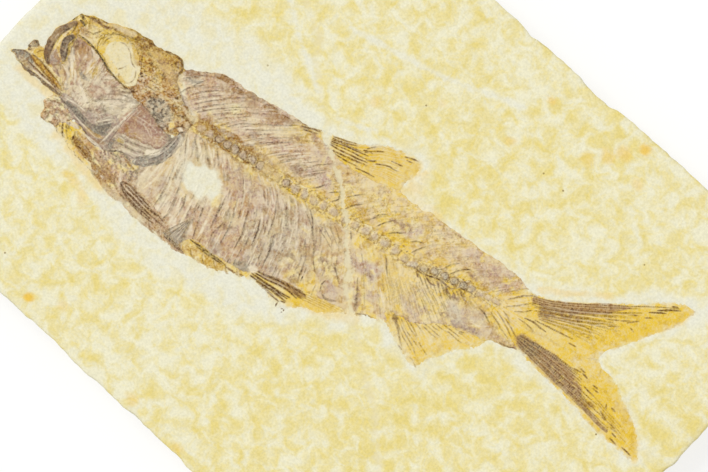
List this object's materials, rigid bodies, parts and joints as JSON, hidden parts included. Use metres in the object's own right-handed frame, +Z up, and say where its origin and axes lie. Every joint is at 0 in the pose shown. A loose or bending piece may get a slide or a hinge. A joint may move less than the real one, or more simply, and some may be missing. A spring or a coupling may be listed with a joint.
{
  "type": "fossil fish slab",
  "caption": "Flattened herring-like fossil fish skeleton lying on a flat rectangular slab of laminated limestone, for display or as a specimen.",
  "frame": {"origin": "middle of the bounding box, at the slab's underside", "axes": "+X along the slab's long side, from the fish's snout end to its tail end; +Y across the slab, towards the fish's back; +Z up, out of the face that carries the fish"},
  "size_m": [0.1584, 0.112, 0.0102],
  "materials": {
    "limestone": "matt, fine-grained",
    "brown_bone": "granular, faint sheen",
    "grey_bone": "granular, faint sheen",
    "mauve_plate": "smooth, faint sheen",
    "scale_film": "matt, scaly",
    "fin_film": "matt, ribbed"
  },
  "bodies": {
    "root": {"limestone_slab": "limestone", "backbone": "brown_bone", "upper_jaw": "grey_bone", "lower_jaw": "brown_bone", "preopercle": "grey_bone", "opercle": "mauve_plate", "subopercle": "mauve_plate", "shoulder_girdle": "grey_bone", "skull_roof_and_braincase": "brown_bone", "eye_ring": "fin_film", "cheek": "mauve_plate", "tongue_bones": "brown_bone", "pectoral_fin": "brown_bone", "throat_bones": "brown_bone", "dorsal_fin": "fin_film", "pelvic_fin": "fin_film", "anal_fin": "fin_film", "tail_fin_lower_lobe": "fin_film", "tail_fin_upper_lobe": "fin_film", "tail_base": "fin_film", "belly_scutes": "brown_bone", "tail_stem": "scale_film", "rib_cage": "scale_film", "upper_flank": "scale_film"}
  },
  "joints": []
}
